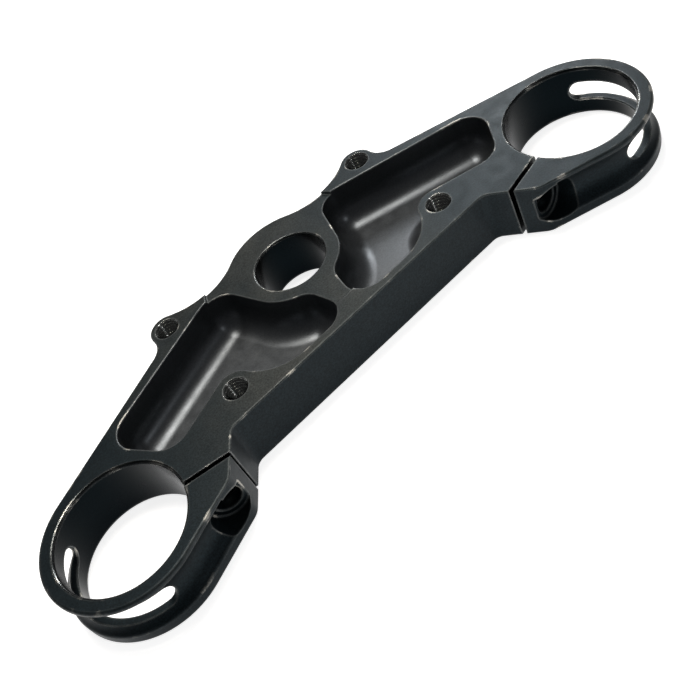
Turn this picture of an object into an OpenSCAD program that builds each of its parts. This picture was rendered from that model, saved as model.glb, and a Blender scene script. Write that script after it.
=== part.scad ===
// Motorcycle triple clamp: one machined plate that holds two fork tubes in
// split, pinched rings and the steering stem in a plain bore between them.
// Origin: stem axis on the flat underside. +X along the fork line's length,
// +Y to the rear of the plate, the pinch bolts' side facing -Y, +Z out of the
// pocketed face. The plate is symmetric about the plane x = 0.

/* [Plate] */
// Thickness of the plate
thickness = 18.5; // [16:0.5:24]
// Distance between the two fork tube axes
fork_spacing = 183; // [178:1:200]
// Distance from the stem axis forward to the line of the fork axes
stem_offset = 36.3; // [34:0.1:38]
// Distance from the stem axis forward to the front wall
front_reach = 37.7; // [36.5:0.1:39]
// Slope of the rear edge and of the pinch lug's front face
arm_slope = 22.25; // [21:0.25:23.5]

/* [Fork clamps] */
// Bore for the fork tube
fork_bore_d = 41; // [39:0.5:43]
// Wall of the clamp ring
ring_wall = 4.8; // [4.5:0.1:5.5]
// Broken edge at the mouths of the three large bores
bore_chamfer = 0.6; // [0.3:0.1:1]
// Radius of the cove cut into the outside of the ring
cove_r = 7.5; // [6.8:0.1:7.8]
// Depth of the cove below the ring's outer face
cove_depth = 3.7; // [2:0.1:4]
// Height of the cove's centre line
cove_z = 10.3; // [9:0.1:10.5]
// Height of the relief slot through the ring
slot_h = 6.6; // [4:0.1:7.5]
// Height of the relief slot's centre line
slot_z = 9.3; // [8.5:0.1:10.5]
// Angle of the slot's rear end, from +X
slot_rear_a = 37; // [20:1:40]
// Angle of the slot's front end, from +X
slot_front_a = -82; // [-85:1:-60]

/* [Pinch bolts] */
// Width of the slit that splits the ring
slit_w = 1.4; // [1:0.1:3]
// Angle between the slit and the line of the fork axes
slit_a = 13.3; // [11:0.1:15]
// Distance from the fork axis to the pinch bolt's axis
pinch_reach = 28.2; // [28:0.1:29]
// Height of the pinch bolt's axis
pinch_z = 9.6; // [9:0.1:10.5]
// Clearance hole for the pinch bolt
pinch_clear_d = 8.8; // [8.4:0.1:9]
// Thread of the pinch bolt, nominal diameter
pinch_thread_d = 8; // [6:0.5:8]
// Length of the pinch bolt's thread behind the slit
pinch_thread_l = 10.5; // [8:0.5:11.5]
// Counterbore for the pinch bolt's head
pinch_head_d = 13.4; // [12:0.1:13.6]
// Metal left between the slit and the head's seat
pinch_seat = 4.5; // [3:0.5:5.5]
// Width of the lug beside the pinch bolt's mouth
lug_margin = 5.1; // [4:0.1:6]
// Width of the slanted face from the lug's corner back to the front wall
lug_slant_w = 10.4; // [9:0.1:12]
// Fillet between front wall and lug
lug_fillet = 4; // [1:0.5:6]

/* [Stem boss] */
// Bore for the steering stem
stem_bore_d = 24; // [20:0.5:26]
// Radius of the boss on the rear outline
boss_r = 22.2; // [21:0.1:24]
// Radius of the boss inside the pockets
boss_pocket_r = 17; // [16:0.1:18]
// Radius of the turned face round the stem
face_r = 29.5; // [28:0.1:31]
// Depth of the turned face
face_depth = 1; // [0.5:0.1:1.5]
// Radius of the hollow between the boss and the rear lug
saddle_r = 23; // [20:0.5:26]

/* [Tapped holes] */
// Thread, nominal diameter
tap_d = 8; // [6:1:8]
// Length of the thread
tap_l = 13; // [10:0.5:14]
// Diameter of the countersink at the mouth
tap_sink_d = 8.8; // [8.2:0.1:9.6]
// Distance of all four holes from the plate's middle
tap_x = 42; // [41:0.1:43]
// Distance of the rear pair behind the stem axis
tap_rear_y = 14.1; // [13.5:0.1:14.5]
// Distance of the front pair ahead of the stem axis
tap_front_y = 27.2; // [26.5:0.1:27.8]
// Radius of the rear lug round its hole
lug_r = 5.8; // [5.5:0.1:6.5]
// Fillet between the rear lug and the rear edge
lug_rear_fillet = 7; // [5:0.5:9]

/* [Pockets] */
// Thickness of the floor under the pockets
floor_t = 4.5; // [3.5:0.5:6]
// Radius of the ball-nosed cutter: floor fillet and corner radius
ball_r = 8; // [7:0.5:8.5]
// Slope of the pocket's rear edge
pocket_slope = 20; // [19:0.5:21]
// Land between the rear hole's axis and the pocket
rear_land = 7.3; // [7:0.1:8]
// Wall between the fork bore and the pocket
end_wall = 4.15; // [4:0.05:5]
// Slope of the pocket's outer end, from the fork line
end_a = 57; // [54:1:60]
// Radius of the boss round the front hole inside the pocket
front_boss_r = 6.7; // [6.4:0.1:7.2]
// Rib between the pocket and the front wall
front_rib = 2.9; // [2.5:0.1:3.5]
// Web between the two pockets, at its front end
web_w = 6.2; // [5:0.2:7]
// Widening of the web toward the boss, each side
web_slant = 11; // [5:1:14]
// Large corner of the pocket's bay beside the front hole
bay_r = 18; // [17:0.5:19]
// Angle at which the pocket's side leaves the boss
shoulder_a = 18; // [15:1:21]

/* [Hidden] */
finish = [0.10, 0.11, 0.12];
$fn = 96;
// How far a cutter starts outside what it cuts
eps = 1;
// Overlap of curves that touch, so that they cross instead of grazing
overlap = 0.01;

drill_ratio = 0.85;
drill_point_a = 59;
slot_r = slot_h / 2;
face_z = thickness - face_depth;

fork_r = fork_bore_d / 2;
ring_r = fork_r + ring_wall;
fork = [fork_spacing / 2, -stem_offset];
rear_hole = [tap_x, tap_rear_y];
front_hole = [tap_x, -tap_front_y];
pocket_top = thickness + eps;
pocket_h = pocket_top - floor_t;

function dir(a) = [cos(a), sin(a)];
// Point where two lines meet, each given by its normal's angle and distance
function meet(a1, d1, a2, d2) =
    [d1 * sin(a2) - d2 * sin(a1), d2 * cos(a1) - d1 * cos(a2)] / sin(a2 - a1);
// Centre of a circle of radius r that touches the outsides of two circles
function touch(c1, r1, c2, r2, r) =
    let (v = c2 - c1, l = norm(v), a = r1 + r, b = r2 + r,
         x = (a * a - b * b + l * l) / (2 * l), y = sqrt(a * a - x * x))
    c1 + (x * v + y * [-v[1], v[0]]) / l;

// Rear edge and lug front: both lie at arm_slope and touch the ring
arm_n = 90 - arm_slope;
tangent_r = ring_r - overlap;
rear_d = fork * dir(arm_n) + tangent_r;
lug_d = fork * dir(arm_n) - tangent_r;
rear_tangent = fork + tangent_r * dir(arm_n);
lug_tangent = fork - tangent_r * dir(arm_n);

// Pinch bolt: the point on the slit that its axis crosses, and its mouth
slit_dir = 180 + slit_a;
pinch_dir = slit_dir + 90;
pinch_c = fork + pinch_reach * dir(slit_dir);
pinch_mouth = (lug_d - pinch_c * dir(arm_n)) / (dir(pinch_dir) * dir(arm_n));
pinch_q = pinch_c + pinch_mouth * dir(pinch_dir);
pinch_drill_r = drill_ratio * pinch_thread_d / 2;

// Lug: its corner, the slanted face beside it and the fillet to the front wall
lug_corner_x = pinch_q[0] - lug_margin;
lug_corner = [lug_corner_x, (lug_d - lug_corner_x * cos(arm_n)) / sin(arm_n)];
lug_root = [lug_corner_x - lug_slant_w, -front_reach];
lug_turn = atan2(lug_root[1] - lug_corner[1], lug_corner[0] - lug_root[0]);
lug_fillet_l = lug_fillet * tan(lug_turn / 2);
lug_foot = lug_root - [lug_fillet_l, 0];
lug_side = lug_root + lug_fillet_l * dir(-lug_turn);

// Centre line of the saddle and of the fillet behind the rear lug
saddle_c = touch([0, 0], boss_r, rear_hole, lug_r, saddle_r);
rear_fillet_dn = rear_d + lug_rear_fillet - rear_hole * dir(arm_n);
rear_fillet_c = rear_hole + rear_fillet_dn * dir(arm_n)
    + sqrt(pow(lug_r + lug_rear_fillet, 2) - pow(rear_fillet_dn, 2)) * dir(arm_n - 90);
rear_fillet_foot = rear_fillet_c - lug_rear_fillet * dir(arm_n);

// Cove: its centre line runs round the ring and off along two tangents
cove_path_r = ring_r + cove_r - cove_depth;
cove_front_a = arm_n - 180;
cove_rear_a = 52;
cove_front = fork + cove_path_r * dir(cove_front_a);
cove_front_l = (cove_front - pinch_q) * dir(arm_n - 90);

// Pocket: corners of the path along which the ball-nosed cutter's axis runs
pocket_n = 90 - pocket_slope;
pocket_rear_d = rear_hole * dir(pocket_n) - rear_land - ball_r;
pocket_front_d = front_hole * dir(pocket_n) + front_boss_r + ball_r;
end_n = end_a - 90;
pocket_end_d = fork * dir(end_n) - fork_r - end_wall - ball_r;
boss_path_r = boss_pocket_r + ball_r;
hole_path_r = front_boss_r + ball_r;
bay_front_y = -front_reach + front_rib + ball_r;
web_n = 180 - web_slant;
web_d = [web_w / 2, bay_front_y] * dir(web_n) - ball_r;
bay_rise = bay_front_y - ball_r + bay_r + tap_front_y;
bay_c = [tap_x - sqrt(pow(bay_r + front_boss_r, 2) - pow(bay_rise, 2)), bay_rise - tap_front_y];
bay_to_hole_a = atan2(front_hole[1] - bay_c[1], front_hole[0] - bay_c[0]);
inner_rear = meet(180 - shoulder_a, -boss_path_r, pocket_n, pocket_rear_d);
outer_rear = meet(pocket_n, pocket_rear_d, end_n, pocket_end_d);
outer_front = meet(end_n, pocket_end_d, pocket_n, pocket_front_d);
hole_start = front_hole + hole_path_r * dir(pocket_n);
hole_end = front_hole + hole_path_r * dir(bay_to_hole_a + 180);
bay_foot = [bay_c[0], bay_front_y];
web_front = meet(web_n, web_d, -90, -bay_front_y);
web_mid = web_d * dir(web_n);
web_rear = web_mid + sqrt(pow(boss_path_r, 2) - pow(web_d, 2)) * dir(web_n + 90);
web_rear_a = atan2(web_rear[1], web_rear[0]);
boss_end = boss_path_r * dir(-shoulder_a);

// Outline of one half of the plate, seen from above
module half_plan() {
    difference() {
        polygon([[0, -front_reach], lug_foot, lug_side, lug_corner, lug_tangent,
                 fork, rear_tangent, rear_fillet_foot, rear_fillet_c, rear_hole,
                 saddle_c, [0, 0]]);
        translate([lug_foot[0], -front_reach - lug_fillet]) circle(lug_fillet + overlap);
        translate(saddle_c) circle(saddle_r + overlap);
        translate(rear_fillet_c) circle(lug_rear_fillet + overlap);
    }
    translate(fork) circle(ring_r);
    translate(rear_hole) circle(lug_r);
}

module plan() {
    half_plan();
    mirror([1, 0]) half_plan();
    circle(boss_r);
}

// Section of the cutter's sweep: s outward from the cutter's axis, z up
module ball_section(inner = 0) {
    difference() {
        translate([-inner, 0]) square([ball_r + inner, pocket_h]);
        difference() {
            translate([0, -eps]) square([ball_r + eps, ball_r + eps]);
            translate([0, ball_r]) circle(ball_r);
            translate([-ball_r, ball_r]) square([2 * ball_r, eps]);
        }
    }
}

// Sweep along a straight stretch that ends at p and has its wall at angle a
module sweep_line(p, q) {
    a = atan2(q[1] - p[1], q[0] - p[0]) - 90;
    translate(q) rotate([0, 0, a]) rotate([90, 0, 0])
        linear_extrude(norm(q - p)) ball_section();
}

// Sweep round a corner of the path
module sweep_turn(c, a0, a1) {
    translate(c) rotate([0, 0, a0]) rotate_extrude(angle = a1 - a0) ball_section();
}

// Sweep round an island: the wall lies on the inside of the arc
module sweep_island(c, r, a0, a1) {
    translate(c) rotate([0, 0, a0]) rotate_extrude(angle = a1 - a0)
        translate([r, 0]) mirror([1, 0]) ball_section();
}

// Sweep round a large corner, with the floor filled in behind its arc
module sweep_bay(c, r, a0, a1) {
    translate(c) rotate([0, 0, a0]) rotate_extrude(angle = a1 - a0)
        translate([r, 0]) ball_section(inner = r / 4);
}

// One pocket as the cutter leaves it
module pocket() {
    translate([0, 0, floor_t]) {
        linear_extrude(pocket_h) difference() {
            polygon([inner_rear, boss_end, web_rear, web_front, bay_foot,
                     hole_end, hole_start, outer_front, outer_rear]);
            circle(boss_path_r);
            translate(front_hole) circle(hole_path_r);
        }
        sweep_line(outer_rear, inner_rear);
        sweep_line(outer_front, outer_rear);
        sweep_line(hole_start, outer_front);
        sweep_line(web_front, bay_foot);
        sweep_line(web_rear, web_front);
        sweep_line(inner_rear, boss_end);
        sweep_turn(inner_rear, pocket_n, 180 - shoulder_a);
        sweep_turn(outer_rear, end_n, pocket_n);
        sweep_turn(outer_front, pocket_n - 180, end_n);
        sweep_turn(web_front, web_n, 270);
        sweep_turn(web_rear, web_rear_a + 180, web_n);
        sweep_bay(bay_c, bay_r - ball_r, -90, bay_to_hole_a);
        sweep_island(front_hole, hole_path_r, pocket_n, bay_to_hole_a + 180);
        sweep_island([0, 0], boss_path_r, web_rear_a, -shoulder_a);
    }
}

// Round bore through the plate with a broken edge at both mouths
module bore(r, top) {
    mouth = r + bore_chamfer + eps;
    rotate_extrude() polygon([[0, -eps], [mouth, -eps], [r, bore_chamfer],
                              [r, top - bore_chamfer], [mouth, top + eps], [0, top + eps]]);
}

// Drilled hole of depth l down from the origin, with the drill's point and a
// countersink that is as wide as sink_r at the mouth
module drilled(r, l, sink_r) {
    rotate_extrude() polygon([[0, -l - r / tan(drill_point_a)], [r, -l], [r, r - sink_r],
                              [sink_r + eps, eps], [0, eps]]);
}

// Tapped hole in the top face, drilled and countersunk
module tapped_hole() {
    translate([0, 0, thickness]) drilled(drill_ratio * tap_d / 2, tap_l, tap_sink_d / 2);
}

// Cove round the ring: round the outside, then off along two tangents
module cove() {
    translate([fork[0], fork[1], cove_z]) {
        rotate([0, 0, cove_front_a]) rotate_extrude(angle = cove_rear_a - cove_front_a)
            translate([cove_path_r, 0]) circle(cove_r);
        rotate([0, 0, cove_front_a]) translate([cove_path_r, 0, 0])
            rotate([90, 0, 0]) cylinder(h = cove_front_l, r = cove_r);
        rotate([0, 0, cove_rear_a]) translate([cove_path_r, 0, 0])
            rotate([-90, 0, 0]) cylinder(h = cove_path_r, r = cove_r);
    }
}

// Slot through the ring's wall, round at both ends
module relief_slot() {
    depth = ring_wall + 2 * eps;
    translate([fork[0], fork[1], slot_z]) {
        rotate([0, 0, slot_front_a]) rotate_extrude(angle = slot_rear_a - slot_front_a)
            translate([fork_r - eps, -slot_r]) square([depth, slot_h]);
        for (a = [slot_front_a, slot_rear_a])
            rotate([0, 0, a]) translate([fork_r - 2 * eps, 0, 0])
                rotate([0, 90, 0]) cylinder(h = depth + 2 * eps, r = slot_r + overlap);
    }
}

// Slit that lets the ring close on the tube
module slit() {
    translate([fork[0], fork[1], -eps]) rotate([0, 0, slit_dir])
        translate([fork_r - eps, -slit_w / 2, 0])
            cube([ring_r, slit_w, thickness + 2 * eps]);
}

// Counterbore, clearance hole and tapped hole of one pinch bolt
module pinch_hole() {
    head_l = pinch_mouth + pinch_head_d;
    seat = slit_w / 2 + pinch_seat;
    translate([pinch_c[0], pinch_c[1], pinch_z]) rotate([0, 0, pinch_dir])
        rotate([0, 90, 0]) {
            translate([0, 0, seat]) cylinder(h = head_l - seat, r = pinch_head_d / 2);
            cylinder(h = seat + eps, r = pinch_clear_d / 2);
            translate([0, 0, -slit_w / 2])
                drilled(pinch_drill_r, pinch_thread_l, pinch_drill_r);
        }
}

// The same cut on both sides of the plate
module both() {
    children();
    mirror([1, 0, 0]) children();
}

module triple_clamp() {
    color(finish) difference() {
        linear_extrude(thickness) plan();
        translate([0, 0, face_z]) cylinder(h = face_depth + eps, r = face_r);
        bore(stem_bore_d / 2, face_z);
        both() {
            translate([fork[0], fork[1], 0]) bore(fork_r, thickness);
            translate(rear_hole) tapped_hole();
            translate(front_hole) tapped_hole();
            pocket();
            cove();
            relief_slot();
            slit();
            pinch_hole();
        }
    }
}

triple_clamp();
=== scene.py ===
"""Studio picture of a machined motorcycle triple clamp.

Sizes are in millimetres and angles in degrees, and what is put into the scene is
in metres; what a shader takes is in metres too. X runs along the line of the
fork tubes, Y to the rear edge and Z out of the pocketed face; the steering
stem's axis is the origin. At the end of a name r is a radius, a an angle, n the
angle of a line's normal and d the line's distance from the origin.
"""

import logging
from dataclasses import dataclass, field, replace
from enum import Enum

import bmesh
import bpy
import numpy as np
from mathutils import Matrix

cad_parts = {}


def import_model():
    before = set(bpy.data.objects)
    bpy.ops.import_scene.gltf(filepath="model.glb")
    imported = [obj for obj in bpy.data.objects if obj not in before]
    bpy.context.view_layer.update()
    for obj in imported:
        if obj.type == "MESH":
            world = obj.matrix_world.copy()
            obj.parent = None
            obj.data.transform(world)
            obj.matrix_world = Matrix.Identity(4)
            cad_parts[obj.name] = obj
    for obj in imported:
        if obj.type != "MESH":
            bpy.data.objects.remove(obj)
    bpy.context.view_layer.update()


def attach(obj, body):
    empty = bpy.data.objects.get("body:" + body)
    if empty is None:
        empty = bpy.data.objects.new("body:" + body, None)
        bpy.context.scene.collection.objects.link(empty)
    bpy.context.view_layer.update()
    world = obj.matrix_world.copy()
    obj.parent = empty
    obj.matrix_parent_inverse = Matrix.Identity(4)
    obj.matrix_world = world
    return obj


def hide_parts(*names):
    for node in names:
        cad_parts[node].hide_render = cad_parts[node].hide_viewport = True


LOG = logging.getLogger("triple_clamp")
Array = np.ndarray
Colour = tuple[float, float, float]
Vector = tuple[float, float, float]

METRE = 0.001
MERGE = 1e-7  # Distance in metres under which two points are one
CLEAR = 1.0  # How far a cutter starts outside what it cuts
CREASE = 12.0  # Angle at which a rounded lip meets its face, so as not to graze it
LIP_END = 0.25  # Height at which a lip's cutter ends above the face
DRILL_POINT = 0.6  # Height of a drill's point over its radius
SHARP = 28.0  # Angle between two faces above which their edge stays sharp
UP = np.array([0.0, 0.0, 1.0])


# Geometry helpers


def heading(angle: float | Array) -> Array:
    """Unit vector at an angle from +X: its cosine and its sine."""
    turn = np.radians(angle)
    return np.stack([np.cos(turn), np.sin(turn)], axis=-1)


def bearing(vector: Array) -> float:
    """Angle of a plan vector from +X."""
    return float(np.degrees(np.arctan2(vector[1], vector[0])))


def crossing(normal_a: float, reach_a: float, normal_b: float, reach_b: float) -> Array:
    """Point where two lines in plan meet.

    A line is all points whose product with the unit normal is its reach, so the
    two lines make a system of two equations.

    Args:
        normal_a: Angle of the first line's normal.
        reach_a: Distance of the first line from the origin.
        normal_b: Angle of the second line's normal.
        reach_b: Distance of the second line from the origin.

    Returns:
        The common point.
    """
    rows = np.array([heading(normal_a), heading(normal_b)])
    return np.linalg.solve(rows, np.array([reach_a, reach_b]))


def nestled(
    centre_a: Array, radius_a: float, centre_b: Array, radius_b: float, radius: float
) -> Array:
    """Centre of a circle that touches the outsides of two circles, on their left.

    Args:
        centre_a: Centre of the first circle.
        radius_a: Its radius.
        centre_b: Centre of the second circle.
        radius_b: Its radius.
        radius: Radius of the circle that touches both.

    Returns:
        The centre, from the triangle with sides radius_a + radius, radius_b +
        radius and the distance between the two circles.
    """
    step = centre_b - centre_a
    span = float(np.linalg.norm(step))
    near, far = radius_a + radius, radius_b + radius
    along = (near**2 - far**2 + span**2) / (2 * span)
    aside = np.sqrt(near**2 - along**2)
    left = np.array([-step[1], step[0]])
    return centre_a + (along * step + aside * left) / span


@dataclass
class Trace:
    """Points along a line in plan, each with the direction that faces outward."""

    points: Array
    normals: Array

    @classmethod
    def arc(
        cls,
        centre: Array,
        radius: float,
        start: float,
        end: float,
        side: float = 1.0,
        step: float = 3.0,
    ) -> "Trace":
        """Arc of a circle: centre + radius (cos a, sin a) for a from start to end.

        Args:
            centre: Centre of the circle.
            radius: Its radius; 0 turns the normals about one point.
            start: First angle.
            end: Last angle.
            side: 1 for normals away from the centre, -1 for normals toward it.
            step: Largest angle between two points.

        Returns:
            The arc.
        """
        count = max(2, int(np.ceil(abs(end - start) / step)) + 1)
        out = heading(np.linspace(start, end, count))
        return cls(np.asarray(centre) + radius * out, side * out)

    @classmethod
    def circle(cls, centre: Array, count: int) -> "Trace":
        """All directions round one point, for a shape turned on a lathe."""
        out = heading(np.arange(count) * 360.0 / count)
        return cls(np.asarray(centre) + 0.0 * out, out)

    @classmethod
    def joined(cls, parts: list["Trace"]) -> "Trace":
        """One line through the points of several, in order."""
        return cls(
            np.concatenate([part.points for part in parts]),
            np.concatenate([part.normals for part in parts]),
        )

    def with_mirror(self) -> "Trace":
        """Closed line: this half, then its mirror image in x = 0 the other way."""
        flip = np.array([-1.0, 1.0])
        other = Trace(self.points[::-1] * flip, self.normals[::-1] * flip)
        return Trace.joined([self, Trace(other.points[:-1], other.normals[:-1])])


def lip(radius: float) -> Array:
    """Rounded lip where a cutter leaves a flat face, as (offset, height) rows.

    The lip is the arc offset = r (1 - cos u), height = r sin u - r cos c for u
    from 0 to 90 - c, where c is the crease that keeps it from grazing the face.
    It then runs on in its own direction, to end above the face.

    Args:
        radius: Radius r of the lip.

    Returns:
        Rows from inside the metal to above the face, whose height is 0.
    """
    last = 90.0 - CREASE
    turn = np.radians(np.linspace(0.0, last, 6))
    rise = radius * (np.sin(turn) - np.sin(turn[-1]))
    rows = np.stack([radius * (1.0 - np.cos(turn)), rise], axis=1)
    tail = rows[-1] + LIP_END * np.array([np.tan(np.radians(last)), 1.0])
    return np.vstack([rows, tail])


def between_lips(offset: float, low: float, high: float, radius: float) -> Array:
    """Profile of a straight wall that has a rounded lip at both ends.

    Args:
        offset: Place of the wall.
        low: Height of the lower face.
        high: Height of the upper face.
        radius: Radius of both lips.

    Returns:
        Rows of (offset, height) from below the lower face to above the upper.
    """
    edge = lip(radius)
    lower = np.stack([offset + edge[::-1, 0], low - edge[::-1, 1]], axis=1)
    upper = np.stack([offset + edge[:, 0], high + edge[:, 1]], axis=1)
    return np.vstack([lower, upper])


def carried(trace: Trace, profile: Array) -> Array:
    """Surface of a profile carried along a line in plan.

    P(s, t) = point(s) + normal(s) offset(t), at the height z(t).

    Args:
        trace: The line in plan.
        profile: Rows of (offset, height).

    Returns:
        Grid of points, one row for each row of the profile.
    """
    flat = trace.points[None] + trace.normals[None] * profile[:, 0, None, None]
    height = np.broadcast_to(profile[:, 1, None, None], flat.shape[:2] + (1,))
    return np.concatenate([flat, height], axis=2)


def placed(grid: Array, origin: Array, axis: Array) -> Array:
    """Grid turned so that its own Z lies along an axis, and moved to an origin.

    Args:
        grid: Points about the origin, with Z along the shape's own axis.
        origin: Where the origin goes.
        axis: Unit vector that Z goes to.

    Returns:
        The moved points: origin + x side + y rise + z axis.
    """
    helper = UP if abs(axis[2]) < 0.9 else np.array([0.0, 1.0, 0.0])
    side = np.cross(helper, axis)
    side = side / np.linalg.norm(side)
    rise = np.cross(axis, side)
    return origin + grid @ np.array([side, rise, axis])


def mirrored(grid: Array) -> Array:
    """The same grid on the other side of the plane x = 0."""
    return grid * np.array([-1.0, 1.0, 1.0])


@dataclass
class Solid:
    """Closed shape: a grid of points that wraps round, closed by its end rings."""

    name: str
    grid: Array
    surface: "Surface"

    def faces(self) -> list[list[int]]:
        """Quads between neighbouring rings, and one face over each end ring."""
        rows, columns = self.grid.shape[:2]
        index = np.arange(rows * columns).reshape(rows, columns)
        after = np.roll(index, -1, axis=1)
        quads = np.stack([index[:-1], after[:-1], after[1:], index[1:]], axis=-1)
        return quads.reshape(-1, 4).tolist() + [index[0].tolist(), index[-1].tolist()]

    def make(self) -> bpy.types.Object:
        """Puts the shape into the scene, its doubles merged and faces outward."""
        mesh = bpy.data.meshes.new(self.name)
        mesh.from_pydata(self.grid.reshape(-1, 3) * METRE, [], self.faces())
        mesh.materials.append(bpy.data.materials[self.surface.value])
        cleaner = bmesh.new()
        cleaner.from_mesh(mesh)
        bmesh.ops.remove_doubles(cleaner, verts=cleaner.verts, dist=MERGE)
        bmesh.ops.recalc_face_normals(cleaner, faces=cleaner.faces)
        cleaner.to_mesh(mesh)
        cleaner.free()
        made = bpy.data.objects.new(self.name, mesh)
        bpy.context.scene.collection.objects.link(made)
        return made


class Hand(Enum):
    """Which half of the plate a feature belongs to."""

    RIGHT = 1.0
    LEFT = -1.0


class Surface(Enum):
    """How a surface was made before it was anodised."""

    BLASTED = "blasted_black_anodising"
    # Turned surfaces take a darker dye: painted shade inside the bores, slits and pinch thread
    TURNED = "turned_anodising_painted_shade"
    MILLED = "milled_black_anodising"
    TAPPED = "tapped_black_anodising"


# Sub-assemblies


@dataclass
class ForkClamp:
    """Split ring that holds one fork tube, with its cove, slot and slit."""

    x: float = 91.5
    y: float = -36.3
    bore_r: float = 20.5
    wall: float = 4.8
    lip_r: float = 1.0
    cove_r: float = 7.5
    cove_depth: float = 3.7
    cove_z: float = 10.3
    cove_rear_a: float = 52.0
    cove_round: float = 1.2
    slot_h: float = 6.6
    slot_z: float = 9.3
    slot_rear_a: float = 37.0
    slot_front_a: float = -82.0
    slot_lip_r: float = 0.35
    slit_w: float = 1.4
    slit_a: float = 13.3
    slit_lip_r: float = 0.15

    @property
    def axis(self) -> Array:
        """Plan position of the fork tube's axis."""
        return np.array([self.x, self.y])

    @property
    def ring_r(self) -> float:
        """Outer radius of the ring."""
        return self.bore_r + self.wall

    @property
    def cove_path_r(self) -> float:
        """Distance of the cove's centre line from the tube's axis."""
        return self.ring_r + self.cove_r - self.cove_depth

    @property
    def slit_dir(self) -> float:
        """Angle at which the slit leaves the ring."""
        return 180.0 + self.slit_a

    def bore(self, thickness: float) -> Solid:
        """Bore for the tube: a circle carried along a wall with rounded lips."""
        profile = between_lips(self.bore_r, 0.0, thickness, self.lip_r)
        grid = carried(Trace.circle(self.axis, count=144), profile)
        return Solid("fork_bore", grid, Surface.TURNED)

    def cove(self, front_a: float, front_l: float) -> Solid:
        """Cove cut round the outside of the ring.

        Its section is carried along a line that runs straight beside the pinch
        bolt, then round the ring and then straight again.

        Args:
            front_a: Angle at which the round part begins.
            front_l: Length of the straight part beside the pinch bolt.

        Returns:
            The cutter.
        """
        path_r, rear_a = self.cove_path_r, self.cove_rear_a
        turn = Trace.arc(self.axis, path_r, front_a, rear_a, step=2.0)
        start = turn.points[:1] + front_l * heading(front_a - 90.0)
        end = turn.points[-1:] + path_r * heading(rear_a + 90.0)
        lead, tail = Trace(start, turn.normals[:1]), Trace(end, turn.normals[-1:])
        grid = carried(Trace.joined([lead, turn, tail]), self.cove_section())
        return Solid("cove", grid.transpose(1, 0, 2), Surface.BLASTED)

    def cove_section(self) -> Array:
        """Section of the cove's cutter: an arc between two rounded shoulders.

        A shoulder of radius q has its centre just inside the ring's wall, at the
        height h where it touches the cove's circle: h is a side of the triangle
        with the hypotenuse r + q. It leaves the wall at the crease's angle.

        Returns:
            Rows of (offset from the centre line, height), a closed loop.
        """
        run_out, beyond = 1.3, 8.0
        path_r, span = self.cove_path_r, self.cove_r + self.cove_round
        inner = self.ring_r - self.cove_round * float(heading(CREASE)[0])
        height = float(np.sqrt(span**2 - (path_r - inner) ** 2))
        touch = float(np.degrees(np.arcsin(height / span)))
        shoulder = np.array([inner, height]) + self.cove_round * heading(
            np.linspace(-CREASE, -touch, 8)
        )
        start = shoulder[:1] + run_out * heading(90.0 - CREASE)
        hollow = np.array([path_r, 0.0]) + self.cove_r * heading(
            np.linspace(180.0 - touch, 180.0, 24)
        )
        outside = np.array([[self.ring_r + beyond, start[0, 1]]])
        upper = np.vstack([outside, start, shoulder, hollow[1:]])
        lower = upper[::-1][1:] * np.array([1.0, -1.0])
        return np.vstack([upper, lower]) + np.array([-path_r, self.cove_z])

    def relief_slot(self) -> Solid:
        """Slot through the ring's wall, round at both ends.

        At the distance d from the tube's axis the slot's half height is r(d),
        wider at the bore's lip. P(u, d) = axis + d heading(x / R), at the height
        z + h or z - h. Between the ends h = r(d); at an end the outline turns
        by p, so that x = end + r(d) sin p and h = r(d) cos p.

        Returns:
            The cutter, as loops across the slot from its front to its rear end.
        """
        steps, between, last = 12, 48, 88.0
        edge = lip(self.slot_lip_r)[::-1]
        half = self.slot_h / 2 + np.append(edge[:, 0], [0.0, 0.0])
        outside = [self.ring_r - CLEAR, self.ring_r + CLEAR]
        reach = np.append(self.bore_r - edge[:, 1], outside)
        front, rear = np.radians([self.slot_front_a, self.slot_rear_a]) * self.bore_r
        turn = np.linspace(0.0, last, steps + 1)
        phase = np.concatenate([-turn[::-1], np.zeros(between - 2), turn])[:, None]
        base = np.pad(np.linspace(front, rear, between), steps, mode="edge")[:, None]
        along = base + half * np.sin(np.radians(phase))
        rise = half * np.cos(np.radians(phase))
        flat = self.axis + reach[:, None] * heading(np.degrees(along / self.bore_r))
        lower = np.concatenate([flat, (self.slot_z - rise)[..., None]], axis=2)
        upper = np.concatenate([flat, (self.slot_z + rise)[..., None]], axis=2)
        loops = np.concatenate([lower, upper[:, ::-1]], axis=1)
        return Solid("relief_slot", loops, Surface.BLASTED)

    def slit(self, thickness: float) -> Solid:
        """Slit that lets the ring close: a rectangle carried up, with lips."""
        half = self.slit_w / 2
        near, far = self.bore_r - CLEAR, self.bore_r + self.ring_r
        along, across = heading(self.slit_dir), heading(self.slit_dir + 90.0)
        signs = np.array([[0.0, 1.0], [1.0, 1.0], [1.0, -1.0], [0.0, -1.0]])
        reach = near + signs[:, :1] * (far - near)
        points = self.axis + reach * along + signs[:, 1:] * half * across
        normals = (2 * signs[:, :1] - 1) * along + signs[:, 1:] * across
        profile = between_lips(0.0, 0.0, thickness, self.slit_lip_r)
        return Solid("slit", carried(Trace(points, normals), profile), Surface.TURNED)


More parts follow.
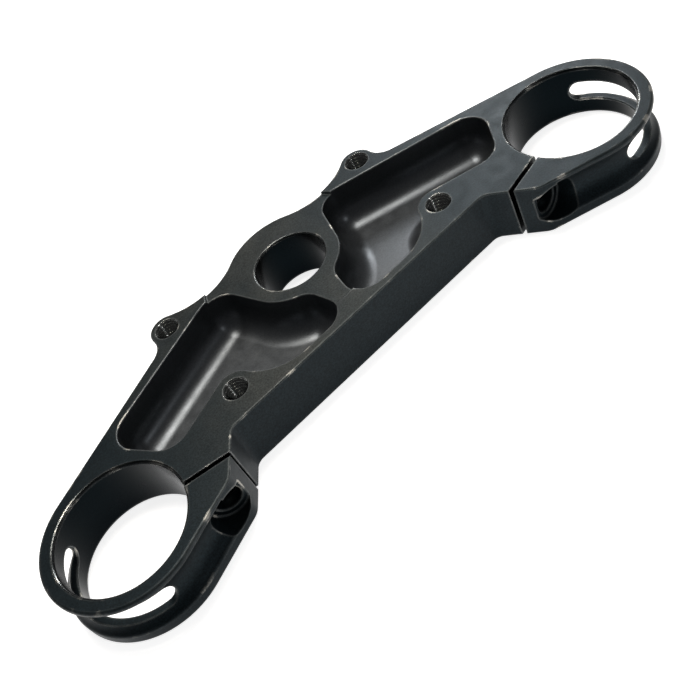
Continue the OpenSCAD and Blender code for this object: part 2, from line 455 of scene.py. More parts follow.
@dataclass
class Thread:
    """Tapped hole: drilled, countersunk and cut with a helical thread."""

    drill_r: float = 3.4
    root_r: float = 3.98
    pitch: float = 1.25
    length: float = 13.0
    sink_r: float = 4.1
    plain: float = 1.0
    steep: float = 1.35
    shift: float = 0.12
    rows_per_turn: int = 8
    columns: int = 48

    def grid(self) -> Array:
        """Surface of the tap, with its own axis along Z and its mouth at z = 0.

        The radius is r(a, z) = drill + (root - drill) w(z / pitch - a / 360),
        where w is a triangle wave, made steep, shifted down and kept from 0 to 1.
        It fades in over the lowest turn, above a plain length, and the
        countersink takes over near the mouth.

        Returns:
            Grid of points from the drill's point up to above the mouth.
        """
        over, point_r = 0.5, 0.04
        rows = int(self.length / self.pitch * self.rows_per_turn)
        z = np.linspace(-self.length, 0.0, rows + 1)[:, None]
        angle = np.arange(self.columns)[None] * 360.0 / self.columns
        wave = 1.0 - np.abs(2.0 * np.mod(z / self.pitch - angle / 360.0, 1.0) - 1.0)
        wave = np.clip(self.steep * wave - self.shift, 0.0, 1.0)
        fade = np.clip((z + self.length - self.plain) / self.pitch, 0.0, 1.0)
        radius = self.drill_r + (self.root_r - self.drill_r) * wave * fade
        radius = np.maximum(radius, self.sink_r + z)
        tip = np.array([[point_r, -self.length - self.drill_r * DRILL_POINT]])
        mouth = np.array([[self.sink_r + over, over]])
        flat = radius[..., None] * heading(angle)
        body = np.concatenate([flat, np.broadcast_to(z, radius.shape)[..., None]], axis=2)
        ring = Trace.circle(np.zeros(2), self.columns)
        return np.concatenate([carried(ring, tip), body, carried(ring, mouth)])


@dataclass
class PinchBolt:
    """Hole for the bolt that closes one ring."""

    reach: float = 28.2
    z: float = 9.6
    clear_r: float = 4.4
    head_r: float = 6.7
    seat: float = 4.5
    edge: float = 0.3
    thread: Thread = field(default_factory=lambda: Thread(length=10.5, sink_r=3.7))

    def centre(self, clamp: ForkClamp) -> Array:
        """Plan point at which the bolt's axis crosses the slit."""
        return clamp.axis + self.reach * heading(clamp.slit_dir)

    def mouth(self, clamp: ForkClamp, face_n: float, face_d: float) -> float:
        """Distance along the bolt from the slit to the lug's front face.

        Args:
            clamp: The ring that the bolt closes.
            face_n: Angle of the front face's line, as its normal.
            face_d: Distance of that line from the origin.

        Returns:
            Length along the bolt's axis.
        """
        out, across = heading(clamp.slit_dir + 90.0), heading(face_n)
        return float((face_d - self.centre(clamp) @ across) / (out @ across))

    def cutters(self, clamp: ForkClamp, mouth: float, hand: Hand) -> list[Solid]:
        """Counterbore with clearance hole, and the tapped hole behind the slit.

        Args:
            clamp: The ring that the bolt closes.
            mouth: Distance along the axis from the slit to the front face.
            hand: Which half of the plate.

        Returns:
            The two cutters in place.
        """
        flip = np.array([hand.value, 1.0, 1.0])
        origin = np.append(self.centre(clamp), self.z) * flip
        axis = np.append(heading(clamp.slit_dir + 90.0), 0.0) * flip
        seat = clamp.slit_w / 2 + self.seat
        stepped = np.array(
            [
                [self.clear_r, 0.0],
                [self.clear_r, seat - self.edge],
                [self.clear_r + self.edge, seat],
                [self.head_r - self.edge, seat],
                [self.head_r, seat + self.edge],
                [self.head_r, mouth + 2 * self.head_r],
            ]
        )
        turned = carried(Trace.circle(np.zeros(2), count=96), stepped)
        start = origin - axis * clamp.slit_w / 2
        return [
            Solid("pinch_counterbore", placed(turned, origin, axis), Surface.BLASTED),
            Solid("pinch_thread", placed(self.thread.grid(), start, axis), Surface.TURNED),
        ]


@dataclass
class StemBoss:
    """Boss in the middle with the stem's bore and the turned face round it."""

    bore_r: float = 12.0
    boss_r: float = 22.2
    pocket_r: float = 17.0
    face_r: float = 29.5
    face_depth: float = 1.0
    fillet_r: float = 0.3
    lip_r: float = 0.6

    def cutters(self, thickness: float) -> list[Solid]:
        """Bore with rounded lips, and the shallow turned face.

        The face's wall goes up from a small fillet to a broken edge.

        Args:
            thickness: Thickness of the plate.

        Returns:
            The two cutters.
        """
        face = thickness - self.face_depth
        fillet = self.fillet_r * np.array([[-1.0, 0.0], [-0.3, 0.3], [0.0, 1.0]])
        edge = np.array([[0.05, -0.12], [0.25, 0.02], [0.9, 0.25]])
        wall = np.vstack([fillet + [self.face_r, face], edge + [self.face_r, thickness]])
        bore = between_lips(self.bore_r, 0.0, face, self.lip_r)
        fine = Trace.circle(np.zeros(2), count=240)
        coarse = Trace.circle(np.zeros(2), count=120)
        return [
            Solid("turned_face", carried(fine, wall), Surface.BLASTED),
            Solid("stem_bore", carried(coarse, bore), Surface.TURNED),
        ]


@dataclass
class Pocket:
    """Pocket milled with a ball-nosed cutter between the boss and one ring."""

    floor_z: float = 4.5
    ball_r: float = 8.0
    slope: float = 20.0
    rear_land: float = 7.3
    end_wall: float = 4.15
    end_a: float = 57.0
    front_boss_r: float = 6.7
    front_rib: float = 2.9
    web_w: float = 6.2
    web_slant: float = 11.0
    bay_r: float = 18.0
    shoulder_a: float = 18.0
    lip_r: float = 0.35

    def path(self, plate: "Plate") -> Trace:
        """Closed line that the cutter's axis follows, with the walls' normals.

        Straight stretches join corners at which the normals turn about one
        point, arcs round the two bosses and the arc of the bay.

        Args:
            plate: The plate that carries the pocket.

        Returns:
            The line, clockwise from its inner rear corner.
        """
        ball = self.ball_r
        across = 90.0 - self.slope
        rear, front, fork = plate.rear_hole, plate.front_hole, plate.clamp.axis
        rear_d = rear @ heading(across) - self.rear_land - ball
        front_d = front @ heading(across) + self.front_boss_r + ball
        end_n = self.end_a - 90.0
        end_d = fork @ heading(end_n) - plate.clamp.bore_r - self.end_wall - ball
        boss_path_r = plate.boss.pocket_r + ball
        bay_y = -plate.front_reach + self.front_rib + ball
        web_n = 180.0 - self.web_slant
        web_d = np.array([self.web_w / 2, bay_y]) @ heading(web_n) - ball
        bay_rise = bay_y - ball + self.bay_r - front[1]
        bay_x = front[0] - np.sqrt((self.bay_r + self.front_boss_r) ** 2 - bay_rise**2)
        bay_c = np.array([bay_x, front[1] + bay_rise])
        bay_a = bearing(front - bay_c)
        inner_rear = crossing(180.0 - self.shoulder_a, -boss_path_r, across, rear_d)
        outer_rear = crossing(across, rear_d, end_n, end_d)
        outer_front = crossing(end_n, end_d, across, front_d)
        web_front = crossing(web_n, web_d, -90.0, -bay_y)
        web_l = np.sqrt(boss_path_r**2 - web_d**2)
        web_rear = web_d * heading(web_n) + web_l * heading(web_n + 90.0)
        web_rear_a = bearing(web_rear)
        return Trace.joined(
            [
                Trace.arc(inner_rear, 0.0, 180.0 - self.shoulder_a, across, step=4.0),
                Trace.arc(outer_rear, 0.0, across, end_n, step=4.0),
                Trace.arc(outer_front, 0.0, end_n, across - 180.0, step=4.0),
                Trace.arc(front, self.front_boss_r + ball, across, bay_a + 180.0, -1.0, 4.0),
                Trace.arc(bay_c, self.bay_r - ball, bay_a, -90.0, step=4.0),
                Trace.arc(web_front, 0.0, -90.0, web_n - 360.0, step=4.0),
                Trace.arc(web_rear, 0.0, web_n - 360.0, web_rear_a - 180.0, step=4.0),
                Trace.arc(np.zeros(2), boss_path_r, web_rear_a, -self.shoulder_a, -1.0, 3.0),
            ]
        )

    def cutter(self, plate: "Plate") -> Solid:
        """Cutter's sweep: a quarter circle, a straight wall and a lip.

        Offset R sin t at the height floor + R (1 - cos t) for t from 0 to 90,
        then straight up to the lip at the plate's upper face.

        Args:
            plate: The plate that carries the pocket.

        Returns:
            The cutter.
        """
        turn = np.radians(np.linspace(0.0, 90.0, 19))
        nose = np.stack([np.sin(turn), 1.0 - np.cos(turn)], axis=1) * self.ball_r
        edge = lip(self.lip_r) + [self.ball_r, plate.thickness]
        profile = np.vstack([nose + [0.0, self.floor_z], edge])
        return Solid("pocket", carried(self.path(plate), profile), Surface.MILLED)


@dataclass
class Plate:
    """The plate's blank and the places of everything that is cut into it."""

    thickness: float = 18.5
    front_reach: float = 37.7
    arm_slope: float = 22.25
    edge_r: float = 0.35
    ring_edge_r: float = 0.9
    ring_edge_x: float = 64.0
    ring_edge_run: float = 10.0
    lug_margin: float = 5.1
    lug_slant_w: float = 10.4
    lug_fillet: float = 4.0
    corner_r: float = 6.0
    saddle_r: float = 23.0
    tap_x: float = 42.0
    tap_rear_y: float = 14.1
    tap_front_y: float = 27.2
    lug_r: float = 5.8
    lug_rear_fillet: float = 7.0
    clamp: ForkClamp = field(default_factory=ForkClamp)
    bolt: PinchBolt = field(default_factory=PinchBolt)
    boss: StemBoss = field(default_factory=StemBoss)
    pocket: Pocket = field(default_factory=Pocket)
    tap: Thread = field(default_factory=Thread)

    @property
    def rear_hole(self) -> Array:
        """Plan position of the rear tapped hole on the right."""
        return np.array([self.tap_x, self.tap_rear_y])

    @property
    def front_hole(self) -> Array:
        """Plan position of the front tapped hole on the right."""
        return np.array([self.tap_x, -self.tap_front_y])

    @property
    def arm_n(self) -> float:
        """Angle of the rear edge's normal."""
        return 90.0 - self.arm_slope

    @property
    def face_n(self) -> float:
        """Angle of the normal of the lug's front."""
        return self.arm_n - 180.0

    @property
    def lug_d(self) -> float:
        """Distance of the lug's front line, measured along the rear normal."""
        return float(self.clamp.axis @ heading(self.arm_n)) - self.clamp.ring_r

    def bolt_mouth(self) -> float:
        """Distance along the pinch bolt from the slit to the lug's front."""
        return self.bolt.mouth(self.clamp, self.arm_n, self.lug_d)

    def bolt_front(self) -> Array:
        """Plan point at which the pinch bolt's axis meets the lug's front."""
        out = heading(self.clamp.slit_dir + 90.0)
        return self.bolt.centre(self.clamp) + self.bolt_mouth() * out

    def rear_half(self) -> list[Trace]:
        """Rear outline on the right: boss, saddle, lug, fillet and ring."""
        zero, rear, axis = np.zeros(2), self.rear_hole, self.clamp.axis
        saddle = nestled(zero, self.boss.boss_r, rear, self.lug_r, self.saddle_r)
        edge_d = float(axis @ heading(self.arm_n)) + self.clamp.ring_r
        drop = edge_d + self.lug_rear_fillet - rear @ heading(self.arm_n)
        aside = np.sqrt((self.lug_r + self.lug_rear_fillet) ** 2 - drop**2)
        fillet = rear + drop * heading(self.arm_n) + aside * heading(self.arm_n - 90.0)
        boss_end, lug_start = bearing(saddle), bearing(saddle - rear)
        lug_end = bearing(fillet - rear)
        return [
            Trace.arc(zero, self.boss.boss_r, 90.0, boss_end),
            Trace.arc(saddle, self.saddle_r, boss_end - 180.0, lug_start - 180.0, -1.0),
            Trace.arc(rear, self.lug_r, lug_start, lug_end, step=5.0),
            Trace.arc(fillet, self.lug_rear_fillet, lug_end - 180.0, self.face_n, -1.0),
            Trace.arc(axis, self.clamp.ring_r, self.arm_n, self.face_n, step=2.0),
        ]

    def front_half(self) -> list[Trace]:
        """Front outline on the right: the lug's corner and its fillet."""
        across = heading(self.arm_n)
        corner_x = self.bolt_front()[0] - self.lug_margin
        corner_y = (self.lug_d - corner_x * across[0]) / across[1]
        root = np.array([corner_x - self.lug_slant_w, -self.front_reach])
        turn = bearing(np.array([self.lug_slant_w, root[1] - corner_y]))
        slant_n = -90.0 - turn
        slant_d = root @ heading(slant_n) - self.corner_r
        rounding = crossing(self.face_n, -self.lug_d - self.corner_r, slant_n, slant_d)
        foot_x = root[0] - self.lug_fillet * np.tan(np.radians(turn / 2))
        hollow = np.array([foot_x, -self.front_reach - self.lug_fillet])
        return [
            Trace.arc(rounding, self.corner_r, self.face_n, slant_n, step=5.0),
            Trace.arc(hollow, self.lug_fillet, 90.0 - turn, 90.0, -1.0, 5.0),
        ]

    def blank(self) -> Solid:
        """Plate before it is cut: its outline carried up a wall with soft edges.

        P(s, t) = point(s) - normal(s) r(s) (1 - sin t), at the height r(s)
        (1 - cos t) at the lower edge and turned over at the upper edge. The
        edge's radius r(s) grows toward the rings.

        Returns:
            The blank.
        """
        outline = Trace.joined(self.rear_half() + self.front_half()).with_mirror()
        past = np.abs(outline.points[:, 0]) - self.ring_edge_x
        share = np.clip(past / self.ring_edge_run, 0.0, 1.0)[None, :, None]
        radius = self.edge_r + (self.ring_edge_r - self.edge_r) * share
        turn = np.radians(np.linspace(0.0, 90.0, 7))[:, None, None]
        flat = outline.points[None] - outline.normals[None] * radius * (1.0 - np.sin(turn))
        lower = np.concatenate([flat, radius * (1.0 - np.cos(turn))], axis=2)
        upper = lower[::-1] * [1.0, 1.0, -1.0] + self.thickness * UP
        return Solid("triple_clamp_body", np.concatenate([lower, upper]), Surface.BLASTED)

    def cutters(self) -> list[Solid]:
        """Everything that is cut from the blank, both hands in place."""
        clamp, mouth = self.clamp, self.bolt_mouth()
        start = clamp.axis + clamp.cove_path_r * heading(self.face_n)
        straight = float((start - self.bolt_front()) @ heading(self.arm_n - 90.0))
        paired = [
            clamp.bore(self.thickness),
            self.pocket.cutter(self),
            clamp.cove(self.face_n, straight),
            clamp.relief_slot(),
            clamp.slit(self.thickness),
        ]
        made = self.boss.cutters(self.thickness)
        for hand in Hand:
            made += [
                shape if hand is Hand.RIGHT else replace(shape, grid=mirrored(shape.grid))
                for shape in paired
            ]
            made += self.bolt.cutters(clamp, mouth, hand)
            for hole in (self.rear_hole, self.front_hole):
                spot = np.array([hand.value * hole[0], hole[1], self.thickness])
                made.append(Solid("tap", placed(self.tap.grid(), spot, UP), Surface.TAPPED))
        return made

    def build(self) -> bpy.types.Object:
        """Cuts the blank and shades it smooth, with normals led by its large faces.

        Returns:
            The finished plate.
        """
        blank = self.blank().make()
        tools = [shape.make() for shape in self.cutters()]
        for tool in tools:
            cut = blank.modifiers.new("cut", "BOOLEAN")
            cut.operation = "DIFFERENCE"
            cut.solver = "MANIFOLD"
            cut.object = tool
            cut.material_mode = "TRANSFER"
        graph = bpy.context.evaluated_depsgraph_get()
        mesh = bpy.data.meshes.new_from_object(blank.evaluated_get(graph))
        blank.modifiers.clear()
        blank.data = mesh
        for tool in tools:
            bpy.data.objects.remove(tool)
        mesh.shade_smooth()
        mesh.set_sharp_from_angle(angle=float(np.radians(SHARP)))
        weighted = blank.modifiers.new("weighted", "WEIGHTED_NORMAL")
        weighted.keep_sharp = True
        return blank


# Finishes


def node(tree: bpy.types.NodeTree, kind: str, **values: object) -> bpy.types.Node:
    """Adds a node and sets its own options or input values by name.

    Args:
        tree: Tree that the node goes into.
        kind: Node type.
        **values: Options of the node, or values of its inputs by their names
            with spaces written as underscores.

    Returns:
        The node.
    """
    made = tree.nodes.new(kind)
    for key, value in values.items():
        if hasattr(made, key):
            setattr(made, key, value)
        else:
            made.inputs[key.replace("_", " ")].default_value = value
    return made


def wire(source: bpy.types.Node, out: str | int, target: bpy.types.Node, into: str | int) -> None:
    """Links an output of one node to an input of another, by name or number."""
    source.id_data.links.new(source.outputs[out], target.inputs[into])


def new_group(
    name: str, inputs: dict[str, str], outputs: tuple[str, ...]
) -> tuple[bpy.types.NodeTree, bpy.types.Node, bpy.types.Node]:
    """Starts a node group.

    Args:
        name: Name of the group.
        inputs: Each input's name and its type, Vector or Float.
        outputs: Names of the outputs, all of them numbers.

    Returns:
        The group's tree, the node for its inputs and the node for its outputs.
    """
    tree = bpy.data.node_groups.new(name, "ShaderNodeTree")
    for label, kind in inputs.items():
        tree.interface.new_socket(name=label, in_out="INPUT", socket_type="NodeSocket" + kind)
    for label in outputs:
        tree.interface.new_socket(name=label, in_out="OUTPUT", socket_type="NodeSocketFloat")
    return tree, node(tree, "NodeGroupInput"), node(tree, "NodeGroupOutput")


def grain_group() -> bpy.types.NodeTree:
    """Node group for the fine grain that blasting and dyeing leave.

    Returns:
        Group with a height for bumps and speckles, and a mask for roughness.
    """
    inputs = {"Vector": "Vector", "Scale": "Float"}
    tree, given, result = new_group("anodised_grain", inputs, ("Height", "Mask"))
    fine = node(tree, "ShaderNodeTexNoise", Detail=4.0, Roughness=0.7)
    coarse = node(tree, "ShaderNodeTexNoise", Detail=2.0)
    smaller = node(tree, "ShaderNodeMath", operation="MULTIPLY")
    smaller.inputs[1].default_value = 0.12
    wire(given, "Vector", fine, "Vector")
    wire(given, "Scale", fine, "Scale")
    wire(given, "Vector", coarse, "Vector")
    wire(given, "Scale", smaller, 0)
    wire(smaller, 0, coarse, "Scale")
    wire(fine, "Fac", result, "Height")
    wire(coarse, "Fac", result, "Mask")
    return tree


def wear_group() -> bpy.types.NodeTree:
    """Node group for the polish along broken edges.

    The mask is how far a normal rounded over the nearest edges departs from the
    surface's own normal, broken up by noise. Where the noise is strongest the
    metal is bare.

    Returns:
        Group with a mask of the polish and one of the bare flecks.
    """
    inputs = {"Vector": "Vector", "Radius": "Float"}
    tree, given, result = new_group("edge_polish", inputs, ("Mask", "Bare"))
    rounded = node(tree, "ShaderNodeBevel", samples=4)
    surface = node(tree, "ShaderNodeNewGeometry")
    agree = node(tree, "ShaderNodeVectorMath", operation="DOT_PRODUCT")
    depart = node(tree, "ShaderNodeMapRange", From_Min=0.998, From_Max=0.95)
    patches = node(tree, "ShaderNodeTexNoise", Scale=160.0, Detail=3.0)
    patchy = node(tree, "ShaderNodeMapRange", From_Min=0.35, From_Max=0.65, To_Min=0.35)
    mask = node(tree, "ShaderNodeMath", operation="MULTIPLY")
    strongest = node(tree, "ShaderNodeMapRange", From_Min=0.58, From_Max=0.66)
    bare = node(tree, "ShaderNodeMath", operation="MULTIPLY")
    wire(given, "Radius", rounded, "Radius")
    wire(rounded, "Normal", agree, 0)
    wire(surface, "Normal", agree, 1)
    wire(agree, "Value", depart, "Value")
    wire(given, "Vector", patches, "Vector")
    wire(patches, "Fac", patchy, "Value")
    wire(depart, "Result", mask, 0)
    wire(patchy, "Result", mask, 1)
    wire(mask, 0, result, "Mask")
    wire(patches, "Fac", strongest, "Value")
    wire(depart, "Result", bare, 0)
    wire(strongest, "Result", bare, 1)
    wire(bare, 0, result, "Bare")
    return tree


def top_sheen_group() -> bpy.types.NodeTree:
    """Node group for a painted sheen: a lighter tone in soft patches, most beside the stem, in
    place of the lamp's reflection.

    The painted sheen lies on faces that look up. It is strongest 18 mm to the left of
    the stem and ends 62 mm to either side of there, with clouds in it.

    Returns:
        Group with a mask of the painted sheen, 0 where there is none.
    """
    tree, given, result = new_group("painted_top_sheen", {"Vector": "Vector"}, ("Mask",))
    surface = node(tree, "ShaderNodeNewGeometry")
    facing = node(tree, "ShaderNodeSeparateXYZ")
    upward = node(tree, "ShaderNodeMapRange", From_Min=0.8, From_Max=0.98)
    handled = node(tree, "ShaderNodeMath", operation="MULTIPLY")
    spot = node(tree, "ShaderNodeSeparateXYZ")
    aside = node(tree, "ShaderNodeMath", operation="ADD")
    aside.inputs[1].default_value = 0.018
    reach = node(tree, "ShaderNodeMath", operation="ABSOLUTE")
    inner = node(tree, "ShaderNodeMapRange", From_Min=0.062, From_Max=0.008)
    clouds = node(tree, "ShaderNodeTexNoise", Scale=38.0, Detail=4.0, Roughness=0.6)
    cloudy = node(tree, "ShaderNodeMapRange", From_Min=0.35, From_Max=0.7, To_Min=0.3)
    mask = node(tree, "ShaderNodeMath", operation="MULTIPLY")
    wire(given, "Vector", spot, 0)
    wire(given, "Vector", clouds, "Vector")
    wire(spot, "X", aside, 0)
    wire(aside, 0, reach, 0)
    wire(reach, 0, inner, "Value")
    wire(clouds, "Fac", cloudy, "Value")
    wire(inner, "Result", mask, 0)
    wire(cloudy, "Result", mask, 1)
    wire(surface, "Normal", facing, 0)
    wire(facing, "Z", upward, "Value")
    wire(mask, 0, handled, 0)
    wire(upward, "Result", handled, 1)
    wire(handled, 0, result, "Mask")
    return tree


@dataclass(frozen=True)
class BlackAnodising:
    """Black anodising over one kind of surface, as a metal tinted by its dye.

    Normals are rounded over edge_r, the polish reaches wear_r in from an edge,
    and the roughness varies by its spread to either side.
    """

    surface: Surface
    dye: Colour
    # Painted sheen: the lighter colour laid on upward faces beside the stem
    sheen_tone: Colour
    worn: Colour
    metallic: float
    roughness: float
    grain_depth: float
    bare: Colour = (0.60, 0.58, 0.53)
    grain_scale: float = 1900.0
    edge_r: float = 0.0006
    wear_r: float = 0.0009
    spread: float = 0.04
    relief: float = 0.35

    def build(self) -> bpy.types.Material:
        """Makes the material from its nodes.

        Returns:
            The material, under the surface's name.
        """
        made = bpy.data.materials.new(self.surface.value)
        made.use_nodes = True
        tree = made.node_tree
        tree.nodes.clear()
        place = node(tree, "ShaderNodeTexCoord")
        output = node(tree, "ShaderNodeOutputMaterial")
        metal = node(tree, "ShaderNodeBsdfPrincipled", Specular_IOR_Level=0.15)
        metal.inputs["Metallic"].default_value = self.metallic
        grain = node(tree, "ShaderNodeGroup", node_tree=bpy.data.node_groups["anodised_grain"])
        grain.inputs["Scale"].default_value = self.grain_scale
        wear = node(tree, "ShaderNodeGroup", node_tree=bpy.data.node_groups["edge_polish"])
        wear.inputs["Radius"].default_value = self.wear_r
        # This group node paints a sheen on upward faces beside the stem
        fade = node(tree, "ShaderNodeGroup", node_tree=bpy.data.node_groups["painted_top_sheen"])
        for group in (grain, wear, fade):
            wire(place, "Object", group, "Vector")
        # Colour: the dye, lighter where the painted sheen lies on upward faces, speckled by the
        # grain, worn at edges
        tone = node(tree, "ShaderNodeMix", data_type="RGBA")
        tone.inputs["A"].default_value = (*self.dye, 1.0)
        tone.inputs["B"].default_value = (*self.sheen_tone, 1.0)
        wire(fade, "Mask", tone, "Factor")
        speckle = node(tree, "ShaderNodeMapRange", From_Min=0.3, From_Max=0.7, To_Min=0.4)
        speckle.inputs["To Max"].default_value = 1.6
        speck = node(tree, "ShaderNodeMix", data_type="RGBA", blend_type="MULTIPLY")
        speck.inputs["Factor"].default_value = self.grain_depth
        wire(grain, "Height", speckle, "Value")
        wire(tone, "Result", speck, "A")
        wire(speckle, "Result", speck, "B")
        edges = node(tree, "ShaderNodeMix", data_type="RGBA")
        edges.inputs["B"].default_value = (*self.worn, 1.0)
        wire(speck, "Result", edges, "A")
        wire(wear, "Mask", edges, "Factor")
        flecks = node(tree, "ShaderNodeMix", data_type="RGBA")
        flecks.inputs["B"].default_value = (*self.bare, 1.0)
        wire(edges, "Result", flecks, "A")
        wire(wear, "Bare", flecks, "Factor")
        wire(flecks, "Result", metal, "Base Color")
        # Roughness: uneven in patches
        uneven = node(tree, "ShaderNodeMapRange", From_Min=0.3, From_Max=0.7)
        uneven.inputs["To Min"].default_value = self.roughness - self.spread
        uneven.inputs["To Max"].default_value = self.roughness + self.spread
        wire(grain, "Mask", uneven, "Value")
        wire(uneven, "Result", metal, "Roughness")
        # Relief: the grain, over normals rounded at the edges
        rounded = node(tree, "ShaderNodeBevel", samples=6, Radius=self.edge_r)
        bump = node(tree, "ShaderNodeBump", Distance=0.00006)
        bump.inputs["Strength"].default_value = self.relief * self.grain_depth
        wire(grain, "Height", bump, "Height")
        wire(rounded, "Normal", bump, "Normal")
        wire(bump, "Normal", metal, "Normal")
        wire(metal, "BSDF", output, "Surface")
        return made


# Each finish's second colour, laid on upward faces beside the stem, is a painted sheen in place
# of the key lamp's reflection
FINISHES = (
    BlackAnodising(
        Surface.BLASTED,
        dye=(0.0073, 0.0122, 0.0152),
        sheen_tone=(0.036, 0.0378, 0.0352),
        worn=(0.12, 0.13, 0.13),
        metallic=0.55,
        roughness=0.42,
        grain_depth=1.0,
    ),
    # Its dye is darker than the blasted one's: painted shade inside the bores, slits and pinch
    # thread; its lower roughness is real
    BlackAnodising(
        Surface.TURNED,
        dye=(0.0024, 0.0041, 0.0052),
        sheen_tone=(0.0045, 0.0060, 0.0064),
        worn=(0.22, 0.23, 0.23),
        metallic=1.0,
        roughness=0.24,
        grain_depth=0.3,
    ),
    BlackAnodising(
        Surface.MILLED,
        dye=(0.072, 0.078, 0.085),
        sheen_tone=(0.072, 0.076, 0.080),
        worn=(0.20, 0.21, 0.21),
        metallic=0.8,
        roughness=0.33,
        grain_depth=0.3,
    ),
    BlackAnodising(
        Surface.TAPPED,
        dye=(0.12, 0.125, 0.12),
        sheen_tone=(0.13, 0.13, 0.125),
        worn=(0.90, 0.90, 0.87),
        metallic=1.0,
        roughness=0.18,
        grain_depth=0.2,
        edge_r=0.00006,
        wear_r=0.00020,
    ),
)


# Studio


def seen_directly(tree: bpy.types.NodeTree) -> bpy.types.Node:
    """Light Path mask: 1 for camera, glossy and transmission rays, else 0.

    Args:
        tree: Tree that the nodes go into.

    Returns:
        Node whose output is the mask.
    """
    rays = node(tree, "ShaderNodeLightPath")
    either = node(tree, "ShaderNodeMath", operation="MAXIMUM")
    any_of = node(tree, "ShaderNodeMath", operation="MAXIMUM")
    wire(rays, "Is Camera Ray", either, 0)
    wire(rays, "Is Glossy Ray", either, 1)
    wire(either, 0, any_of, 0)
    wire(rays, "Is Transmission Ray", any_of, 1)
    return any_of


@dataclass(frozen=True)
class Softbox:
    """Soft lamp that faces the plate's stem axis.

    Its azimuth is the angle from +X, its elevation the angle above the horizon
    and its level the radiance of its face. Its reach is in metres.
    """

    name: str
    azimuth: float
    elevation: float
    size: tuple[float, float]
    level: float
    tint: Colour = (1.0, 1.0, 1.0)
    reach: float = 1.2

    def build(self) -> None:
        """Hangs the lamp."""
        lamp = bpy.data.lights.new(self.name, "AREA")
        lamp.color = self.tint
        lamp.shape = "RECTANGLE"
        lamp.size, lamp.size_y = self.size[0] * METRE, self.size[1] * METRE
        lamp.energy = self.level * np.pi * lamp.size * lamp.size_y
        flat, rise = heading(self.elevation)
        out = np.append(heading(self.azimuth) * flat, rise)
        made = bpy.data.objects.new(self.name, lamp)
        side = np.append(heading(self.azimuth + 90.0), 0.0)
        turn = Matrix(np.column_stack([side, np.cross(out, side), out]).tolist())
        made.matrix_world = Matrix.Translation(out * self.reach) @ turn.to_4x4()
        bpy.context.scene.collection.objects.link(made)


SOFTBOXES = (
    Softbox("key_softbox", 74.0, 72.0, (400.0, 520.0), 17.5, tint=(1.0, 0.95, 0.87)),
    Softbox("far_softbox", 56.0, 41.0, (260.0, 220.0), 4.0),
    Softbox("right_softbox", 50.0, 32.0, (280.0, 200.0), 28.0),
    Softbox("front_softbox", -62.0, 40.0, (100.0, 100.0), 18.0),
)


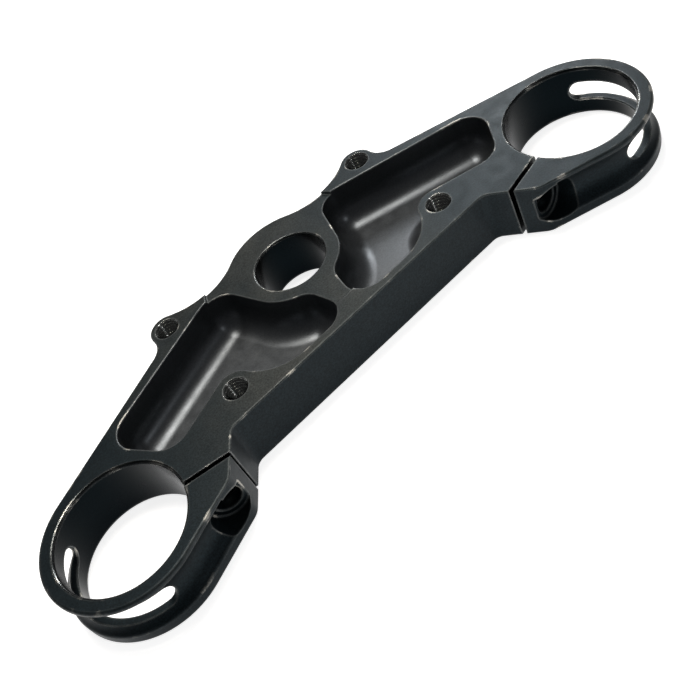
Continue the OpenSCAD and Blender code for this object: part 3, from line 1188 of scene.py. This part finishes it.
@dataclass(frozen=True)
class Studio:
    """White floor and surroundings, soft lamps and the camera.

    The lens and the sensor's width are in millimetres; right and up are the
    picture's own directions. Glow, ambient and ceiling are radiances.
    """

    floor_half: float = 4000.0
    floor_z: float = -0.05
    glow: float = 0.78
    ambient: float = 0.25
    ceiling: float = 0.11
    eye: Vector = (-71.72, -237.48, 219.79)
    right: Vector = (0.713845, -0.601384, -0.358837)
    up: Vector = (0.668399, 0.432182, 0.605361)
    lens: float = 51.88
    sensor_w: float = 36.0

    def floor(self) -> bpy.types.Object:
        """Floor under the plate: white, with the plate's shadow on it."""
        side = np.array([[-1.0, -1.0], [1.0, -1.0], [1.0, 1.0], [-1.0, 1.0]])
        points = np.column_stack([side * self.floor_half, np.full(4, self.floor_z)]) * METRE
        mesh = bpy.data.meshes.new("floor")
        mesh.from_pydata(points, [], [[0, 1, 2, 3]])
        made = bpy.data.objects.new("floor", mesh)
        bpy.context.scene.collection.objects.link(made)
        paint = bpy.data.materials.new("white_floor")
        paint.use_nodes = True
        tree = paint.node_tree
        tree.nodes.clear()
        output = node(tree, "ShaderNodeOutputMaterial")
        matt = node(tree, "ShaderNodeBsdfDiffuse", Color=(0.8, 0.8, 0.8, 1.0))
        glow = node(tree, "ShaderNodeEmission")
        level = node(tree, "ShaderNodeMath", operation="MULTIPLY")
        level.inputs[1].default_value = self.glow
        both = node(tree, "ShaderNodeAddShader")
        wire(seen_directly(tree), 0, level, 0)
        wire(level, 0, glow, "Strength")
        wire(matt, 0, both, 0)
        wire(glow, 0, both, 1)
        wire(both, 0, output, "Surface")
        mesh.materials.append(paint)
        return made

    def surroundings(self) -> None:
        """World: white where it is seen, dim where it only lights.

        Mirrored in the part it is white near the floor, with a dim ceiling.
        """
        world = bpy.data.worlds.new("studio")
        world.use_nodes = True
        tree = world.node_tree
        tree.nodes.clear()
        output = node(tree, "ShaderNodeOutputWorld")
        back = node(tree, "ShaderNodeBackground", Color=(1.0, 1.0, 1.0, 1.0))
        rays = node(tree, "ShaderNodeLightPath")
        place = node(tree, "ShaderNodeTexCoord")
        way = node(tree, "ShaderNodeSeparateXYZ")
        ceiling = node(tree, "ShaderNodeMapRange", From_Max=0.3, To_Min=1.0, To_Max=self.ceiling)
        mirrored_in = node(tree, "ShaderNodeMapRange", To_Min=self.ambient)
        seen = node(tree, "ShaderNodeMapRange", To_Max=1.0)
        wire(place, "Generated", way, 0)
        wire(way, "Z", ceiling, "Value")
        wire(seen_directly(tree), 0, mirrored_in, "Value")
        wire(ceiling, "Result", mirrored_in, "To Max")
        wire(rays, "Is Camera Ray", seen, "Value")
        wire(mirrored_in, "Result", seen, "To Min")
        wire(seen, "Result", back, "Strength")
        wire(back, 0, output, "Surface")
        bpy.context.scene.world = world

    def camera(self) -> None:
        """Camera at the picture's viewing angle."""
        lens = bpy.data.cameras.new("camera")
        lens.lens, lens.sensor_width = self.lens, self.sensor_w
        lens.clip_start, lens.clip_end = 0.01, 100.0
        made = bpy.data.objects.new("camera", lens)
        right, up = np.array(self.right), np.array(self.up)
        turn = Matrix(np.column_stack([right, up, np.cross(right, up)]).tolist())
        place = Matrix.Translation(np.array(self.eye) * METRE)
        made.matrix_world = place @ turn.to_4x4()
        bpy.context.scene.collection.objects.link(made)
        bpy.context.scene.camera = made

    def build(self) -> None:
        """Sets up floor, world, lamps and camera."""
        self.floor()
        self.surroundings()
        for lamp in SOFTBOXES:
            lamp.build()
        self.camera()
        bpy.context.scene.view_settings.view_transform = "Standard"


def main() -> None:
    """Loads the frame, builds the plate in its finish and lights it."""
    logging.basicConfig(level=logging.INFO, format="%(name)s: %(message)s")
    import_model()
    Studio().build()
    for group in (grain_group, wear_group, top_sheen_group):
        LOG.info("node group %s", group().name)
    for finish in FINISHES:
        LOG.info("finish %s", finish.build().name)
    plate = Plate().build()
    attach(plate, "root")
    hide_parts("triple_clamp")
    mesh = plate.data
    mesh.calc_loop_triangles()
    LOG.info("%s: %d triangles", plate.name, len(mesh.loop_triangles))


if __name__ == "__main__":
    main()
